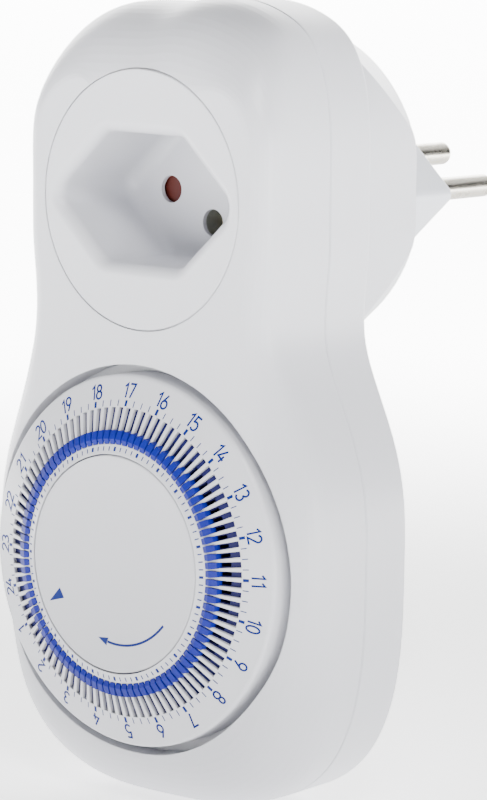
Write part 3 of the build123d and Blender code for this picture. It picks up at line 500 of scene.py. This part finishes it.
class TIMER_OT_dial(bpy.types.Operator):
    """Finish the dial ring, its carrier and the switching segments"""

    bl_idname = "timer.dial"
    bl_label = "Dial"

    def execute(self, context):
        s = context.scene.timer_case
        d = context.scene.timer_dial
        ring = moulded("dial plastic", shade(s.colour, 1.02), s.roughness - 0.05, grain=0.25,
                       grain_depth=0.002, edge=0.22, mottle=0.01, soft=0.05)
        paint(ring, "dial_ring")
        # The carrier's dark navy is painted shade: a darker copy of the segment blue, standing for blue
        # plastic in shadow at the foot of the slots.
        painted_shade_navy = moulded("carrier plastic in painted shade", (0.010, 0.010, 0.085), 0.5, edge=0.1, gloss=0.2)
        paint(painted_shade_navy, "dial_gear")
        blue = moulded("segment plastic", d.segment_colour, 0.4, grain=0.2, grain_depth=0.002, edge=0.08,
                       mottle=0.08, gloss=0.2)
        paint(blue, "segments", *[n for n in nodes if n.startswith("moving_segment")])
        return {"FINISHED"}


class TIMER_OT_scale(bpy.types.Operator):
    """Print the numerals and ticks on the dial ring"""

    bl_idname = "timer.scale"
    bl_label = "Printed scale"

    def execute(self, context):
        d = context.scene.timer_dial
        blue = ink("scale ink", d.ink_colour)
        scale = Print(scale_surface(d.film / 2))
        for hour in range(1, 25):
            digits = str(hour)
            for n, digit in enumerate(digits):
                shift = (n - (len(digits) - 1) / 2) * 0.66 * d.numeral_height
                if digits[0] == "1" and len(digits) == 2:
                    shift += (0.06 if n == 0 else -0.03) * d.numeral_height
                spot = turned_out(d.first_hour + 15 * hour, d.numeral_foot)
                for stroke in strokes[digit]:
                    drawn = [(x * d.numeral_height + shift, z * d.numeral_height) for x, z in stroke]
                    scale.strip(*ribbon(drawn, d.stroke), spot)
        for quarter in range(quarters):
            hour = quarter % 4 == 0
            angle = d.first_hour + 360 / quarters * quarter
            for low, high, thin, thick in (outer_ticks, inner_ticks):
                half = (thick if hour else thin) * MM / 2
                edges = [[(side * half, 0), (side * half, (high - low) * MM)] for side in (-1, 1)]
                scale.strip(*edges, turned_out(angle, low * MM))
        scale.piece("dial_scale", "dial", blue, d.film)
        return {"FINISHED"}


class TIMER_OT_cap(bpy.types.Operator):
    """Finish the fixed cap and print its pointer and turning arrow"""

    bl_idname = "timer.cap"
    bl_label = "Cap"

    def execute(self, context):
        s = context.scene.timer_case
        d = context.scene.timer_dial
        cap = moulded("cap plastic", shade(s.colour, 0.94), s.roughness + 0.08, grain=0.3, grain_depth=0.004,
                      edge=0.15, mottle=0.014, soft=0.05)
        paint(cap, "hub_cap")
        sign = Print(cap_surface(d.film / 2))
        # The pointer aims outwards at the hour that has come.
        triangle(sign, pointer_tip, *pointer_wings)
        # The arrow's shaft curls from its tail under the cap's middle.
        shaft = []
        for i in range(shaft_steps + 1):
            t = i / shaft_steps
            radius, angle = 14.35 - 0.85 * t - 0.3 * t * t, math.radians(-38 - 57 * t)
            shaft.append((radius * math.cos(angle) * MM, radius * math.sin(angle) * MM))
        sign.strip(*ribbon(shaft, shaft_width * MM))
        triangle(sign, arrow_tip, arrow_wings[0], arrow_notch)
        triangle(sign, arrow_tip, arrow_notch, arrow_wings[1])
        sign.piece("cap_marks", "housing", ink("cap ink", d.ink_colour), d.film)
        return {"FINISHED"}


class TIMER_OT_movement(bpy.types.Operator):
    """Finish the motor, gear train and plates"""

    bl_idname = "timer.movement"
    bl_label = "Movement"

    def execute(self, context):
        paint(metal("zinc plate", (0.58, 0.59, 0.56, 1), 0.34, flow=(0.1, 1, 1), stain=(0.45, 0.44, 0.36, 1)),
              "front_plate", "rear_plate", "motor_case")
        paint(metal("turned steel", (0.52, 0.53, 0.55, 1), 0.24, flow=(0.1, 1, 0.1)),
              "plate_pillars", "pillar_screws", "movement_screws", "gear_arbors", "rotor_shaft",
              "clutch_spring", "dial_clip")
        paint(moulded("acetal", (0.62, 0.60, 0.52), 0.38, edge=0.08, mottle=0.03, soft=0.15),
              "output_pinion", "clutch_wheel", "second_wheel", "third_wheel", "dial_post")
        paint(moulded("bobbin plastic", (0.36, 0.36, 0.33), 0.5, edge=0.1, mottle=0.05),
              "coil_bobbin", "motor_terminal")
        paint(wound_wire("coil copper", (0.60, 0.24, 0.09, 1), 0.12), "motor_coil")
        ferrite = moulded("ferrite", (0.035, 0.035, 0.04), 0.55, grain=0.12, grain_depth=0.008, edge=0.05,
                          mottle=0.2)
        paint(ferrite, "rotor_magnet")
        return {"FINISHED"}


class TIMER_OT_switch(bpy.types.Operator):
    """Finish the switch, its lever and the leads"""

    bl_idname = "timer.switch"
    bl_label = "Switch"

    def execute(self, context):
        paint(moulded("lever plastic", (0.58, 0.57, 0.52), 0.42, edge=0.1, mottle=0.03), "switch_lever")
        paint(moulded("base plastic", (0.28, 0.28, 0.27), 0.5, edge=0.1, mottle=0.06), "switch_base")
        paint(metal("pin steel", (0.55, 0.56, 0.58, 1), 0.2), "lever_pin")
        paint(metal("strip brass", (0.64, 0.47, 0.2, 1), 0.28, flow=(1, 1, 0.1), stain=(0.33, 0.22, 0.09, 1)),
              "line_bar_in", "line_bar_out", "fixed_blade", "moving_blade")
        paint(metal("contact silver", (0.72, 0.71, 0.68, 1), 0.3), "moving_contact", "fixed_contact")
        paint(moulded("lead sleeve", (0.16, 0.06, 0.03), 0.5, edge=0.1, mottle=0.1), "line_lead")
        paint(moulded("neutral lead sleeve", (0.03, 0.10, 0.30), 0.5, edge=0.1, mottle=0.1), "neutral_lead")
        return {"FINISHED"}


class TIMER_OT_stage(bpy.types.Operator):
    """Set the pale table, the soft lights and the camera"""

    bl_idname = "timer.stage"
    bl_label = "Stage"

    def execute(self, context):
        s = context.scene.timer_stage
        scene = context.scene
        low, high = cad_box

        # Table that sweeps up far behind the object. Sizes in metres.
        reach, rise, steps = 2.6, 1.6, 24
        near_edge, top, half_width = -1.6, 3.2, 3.0
        back = Vector((-math.sin(s.turn), math.cos(s.turn), 0))
        side = Vector((back.y, -back.x, 0))
        profile = [(near_edge, 0.0), (reach, 0.0)]
        profile += [(reach + rise * math.sin(t), rise * (1 - math.cos(t)))
                    for t in (math.pi / 2 * i / steps for i in range(1, steps + 1))]
        profile.append((reach + rise, top))
        points = []
        for along, up in profile:
            for across in (-half_width, half_width):
                points.append(back * along + side * across + Vector((0, 0, low.z + up)))
        faces = [(2 * i, 2 * i + 1, 2 * i + 3, 2 * i + 2) for i in range(len(profile) - 1)]
        mesh = bpy.data.meshes.new("table")
        mesh.from_pydata(points, [], faces)
        for f in mesh.polygons:
            f.use_smooth = True
        finish, wire, shader = new_finish("pale table")
        place = wire.node("TexCoord", out="Object")
        cloud = wire.node("TexNoise", {}, {"Vector": place, "Scale": 3.0, "Detail": 2.0})
        distance = wire.node("VectorMath", {"operation": "LENGTH"}, {0: place}, out=1)
        near, far = ((glow, glow, glow, 1) for glow in (s.near_glow, s.far_glow))
        connect(shader, base_color=cloud.blend((0.90, 0.90, 0.90, 1), (0.93, 0.93, 0.93, 1)), roughness=0.8,
                emission_color=distance.between(s.glow_start, s.glow_full).blend(near, far),
                emission_strength=1.0)
        mesh.materials.append(finish)
        table = bpy.data.objects.new("table", mesh)
        scene.collection.objects.link(table)

        # Soft boxes: name, place, aim, size, power.
        middle = (low + high) / 2
        for name, place, size, power in (
            ("key box", (0.60, -0.55, 0.80), 0.30, 10.5),
            ("front box", (-0.55, -1.0, 0.35), 0.8, 1.0),
            ("side box", (1.1, 0.15, -0.10), 0.5, 12.0),
            ("rear box", (0.1, 0.9, 0.8), 0.8, 3.0),
        ):
            lamp = bpy.data.lights.new(name, "AREA")
            lamp.shape = "SQUARE"
            lamp.size = size
            lamp.energy = power
            box = bpy.data.objects.new(name, lamp)
            box.location = middle + Vector(place)
            box.rotation_mode = "QUATERNION"
            box.rotation_quaternion = (-Vector(place)).to_track_quat("-Z", "Y")
            scene.collection.objects.link(box)

        world = bpy.data.worlds.new("studio air")
        world.use_nodes = True
        air = world.node_tree.nodes["Background"]
        air.inputs["Color"].default_value = (0.95, 0.97, 1.0, 1.0)
        air.inputs["Strength"].default_value = 0.12
        scene.world = world

        lens = bpy.data.cameras.new("eye")
        lens.lens = s.lens
        lens.sensor_width = 36.0
        lens.clip_start, lens.clip_end = 0.05, 30.0
        camera = bpy.data.objects.new("eye", lens)
        turn = Matrix.Rotation(s.turn, 3, "Z") @ Matrix.Rotation(-s.tilt, 3, "X")
        turn = turn @ Matrix.Rotation(-s.roll, 3, "Y") @ Matrix.Rotation(math.pi / 2, 3, "X")
        camera.matrix_world = Matrix.Translation(Vector(s.eye)) @ turn.to_4x4()
        scene.collection.objects.link(camera)
        scene.camera = camera
        return {"FINISHED"}


class TIMER_PT_panel(bpy.types.Panel):
    bl_label = "Timer Looks"
    bl_idname = "TIMER_PT_panel"
    bl_space_type = "VIEW_3D"
    bl_region_type = "UI"
    bl_category = "Timer"

    def draw(self, context):
        for group in (context.scene.timer_case, context.scene.timer_dial, context.scene.timer_stage):
            box = self.layout.box()
            for name in group.__annotations__:
                box.prop(group, name)
        for operator in operators:
            self.layout.operator(operator.bl_idname)


operators = (TIMER_OT_case, TIMER_OT_socket, TIMER_OT_plug, TIMER_OT_dial, TIMER_OT_scale, TIMER_OT_cap,
             TIMER_OT_movement, TIMER_OT_switch, TIMER_OT_stage)
groups = {"timer_case": CaseSettings, "timer_dial": DialSettings, "timer_stage": StageSettings}


def register():
    for name, group in groups.items():
        bpy.utils.register_class(group)
        setattr(bpy.types.Scene, name, bpy.props.PointerProperty(type=group))
    for operator in operators:
        bpy.utils.register_class(operator)
    bpy.utils.register_class(TIMER_PT_panel)


def unregister():
    bpy.utils.unregister_class(TIMER_PT_panel)
    for operator in reversed(operators):
        bpy.utils.unregister_class(operator)
    for name, group in reversed(groups.items()):
        delattr(bpy.types.Scene, name)
        bpy.utils.unregister_class(group)


def main():
    register()
    for step in (bpy.ops.timer.case, bpy.ops.timer.socket, bpy.ops.timer.plug, bpy.ops.timer.dial,
                 bpy.ops.timer.scale, bpy.ops.timer.cap, bpy.ops.timer.movement, bpy.ops.timer.switch,
                 bpy.ops.timer.stage):
        step()


if __name__ == "__main__":
    main()
